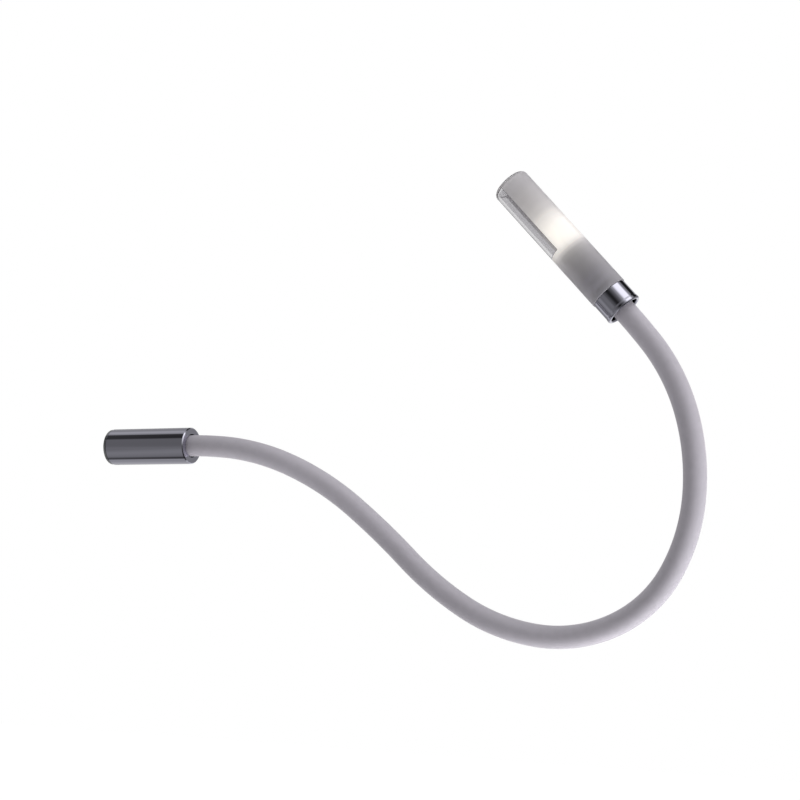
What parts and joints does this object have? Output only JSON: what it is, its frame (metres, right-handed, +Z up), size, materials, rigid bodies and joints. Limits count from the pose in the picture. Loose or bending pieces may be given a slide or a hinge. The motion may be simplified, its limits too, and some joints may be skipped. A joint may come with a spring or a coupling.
{
  "type": "wall light",
  "caption": "Wall light with a round base, a long bendable sleeved arm and a slim head in a frosted glass tube with a clear window.",
  "frame": {"origin": "centre of the base's rear face, on the wall, which is the XZ plane", "axes": "+Z up; the base stands out from the wall along -Y; +X runs along the wall to the right of someone facing it"},
  "size_m": [0.0457, 0.3982, 0.2924],
  "materials": {
    "chrome": "polished",
    "zinc_plate": "zinc plated",
    "plated_steel": "nickel plated",
    "brass": "machined",
    "terminal_plastic": "moulded",
    "grey_silicone": "matt silicone",
    "steel_conduit": "wound strip",
    "lead_insulation": "smooth",
    "black_rubber": "matt",
    "frosted_glass": "etched, with one clear window",
    "clear_quartz": "clear",
    "holder_tube": "satin",
    "ceramic": "unglazed",
    "lamp_wire": "drawn wire"
  },
  "bodies": {
    "base": {"wall_plate": "zinc_plate", "base_housing": "chrome", "root_ferrule": "plated_steel", "root_nut": "plated_steel", "terminal_block": "terminal_plastic", "terminal_tube_left": "brass", "terminal_tube_right": "brass", "terminal_screws": "plated_steel", "block_screw": "plated_steel", "grub_screw": "plated_steel", "arm_sleeve_01": "grey_silicone", "arm_core_01": "steel_conduit", "arm_lead_01": "lead_insulation"},
    "arm_02": {"arm_sleeve_02": "grey_silicone", "arm_core_02": "steel_conduit", "arm_lead_02": "lead_insulation"},
    "arm_03": {"arm_sleeve_03": "grey_silicone", "arm_core_03": "steel_conduit", "arm_lead_03": "lead_insulation"},
    "arm_04": {"arm_sleeve_04": "grey_silicone", "arm_core_04": "steel_conduit", "arm_lead_04": "lead_insulation"},
    "arm_05": {"arm_sleeve_05": "grey_silicone", "arm_core_05": "steel_conduit", "arm_lead_05": "lead_insulation"},
    "arm_06": {"arm_sleeve_06": "grey_silicone", "arm_core_06": "steel_conduit", "arm_lead_06": "lead_insulation"},
    "arm_07": {"arm_sleeve_07": "grey_silicone", "arm_core_07": "steel_conduit", "arm_lead_07": "lead_insulation"},
    "arm_08": {"arm_sleeve_08": "grey_silicone", "arm_core_08": "steel_conduit", "arm_lead_08": "lead_insulation"},
    "arm_09": {"arm_sleeve_09": "grey_silicone", "arm_core_09": "steel_conduit", "arm_lead_09": "lead_insulation"},
    "arm_10": {"arm_sleeve_10": "grey_silicone", "arm_core_10": "steel_conduit", "arm_lead_10": "lead_insulation"},
    "arm_11": {"arm_sleeve_11": "grey_silicone", "arm_core_11": "steel_conduit", "arm_lead_11": "lead_insulation"},
    "head": {"arm_sleeve_12": "grey_silicone", "arm_core_12": "steel_conduit", "arm_lead_12": "lead_insulation", "head_collar": "chrome", "tip_ferrule": "plated_steel", "tip_nut": "plated_steel", "seal_ring_lower": "black_rubber", "seal_ring_upper": "black_rubber", "holder_sleeve": "holder_tube", "holder_ring": "plated_steel", "lamp_holder": "ceramic", "holder_contacts": "brass", "bulb_envelope": "clear_quartz", "bulb_pins": "lamp_wire", "bulb_filament": "lamp_wire"},
    "shade": {"glass_shade": "frosted_glass"}
  },
  "joints": [
    {"name": "arm_bend_01", "type": "hinge", "parent": "base", "child": "arm_02", "pos_m": [0.00138, -0.08626, -0.00117], "axis": [-0.9936, -0.113, -0.0054], "range_deg": [-30, 30]},
    {"name": "arm_swing_02", "type": "hinge", "parent": "arm_02", "child": "arm_03", "pos_m": [0.00882, -0.13242, -0.01388], "axis": [0.0574, -0.4182, 0.9065], "range_deg": [-30, 30]},
    {"name": "arm_bend_03", "type": "hinge", "parent": "arm_03", "child": "arm_04", "pos_m": [0.01653, -0.17267, -0.03993], "axis": [-0.9872, -0.1597, -0.0049], "range_deg": [-30, 20]},
    {"name": "arm_swing_04", "type": "hinge", "parent": "arm_04", "child": "arm_05", "pos_m": [0.01971, -0.2086, -0.07258], "axis": [0.104, -0.6925, 0.7139], "range_deg": [-25, 25]},
    {"name": "arm_bend_05", "type": "hinge", "parent": "arm_05", "child": "arm_06", "pos_m": [0.01949, -0.24724, -0.10203], "axis": [-0.9944, -0.0413, 0.0976], "range_deg": [-30, 14]},
    {"name": "arm_swing_06", "type": "hinge", "parent": "arm_06", "child": "arm_07", "pos_m": [0.0213, -0.29288, -0.11794], "axis": [0.0901, -0.1294, 0.9875], "range_deg": [-25, 25]},
    {"name": "arm_bend_07", "type": "hinge", "parent": "arm_07", "child": "arm_08", "pos_m": [0.02551, -0.34022, -0.11092], "axis": [-0.9959, -0.0562, 0.0713], "range_deg": [-30, 8]},
    {"name": "arm_swing_08", "type": "hinge", "parent": "arm_08", "child": "arm_09", "pos_m": [0.0261, -0.37572, -0.07873], "axis": [0.0338, 0.8609, 0.5077], "range_deg": [-25, 25]},
    {"name": "arm_bend_09", "type": "hinge", "parent": "arm_09", "child": "arm_10", "pos_m": [0.02394, -0.39057, -0.03281], "axis": [-0.9982, 0.0557, -0.0243], "range_deg": [-30, 8]},
    {"name": "arm_swing_10", "type": "hinge", "parent": "arm_10", "child": "arm_11", "pos_m": [0.02298, -0.38673, 0.01549], "axis": [0.06, 0.9664, -0.2499], "range_deg": [-25, 25]},
    {"name": "arm_bend_11", "type": "hinge", "parent": "arm_11", "child": "head", "pos_m": [0.02163, -0.36563, 0.059], "axis": [-0.9965, 0.0292, -0.0789], "range_deg": [-30, 12]},
    {"name": "shade_turn", "type": "hinge", "parent": "head", "child": "shade", "pos_m": [0.02048, -0.35033, 0.0779], "axis": [-0.0495, 0.652, 0.7566], "continuous": true}
  ]
}
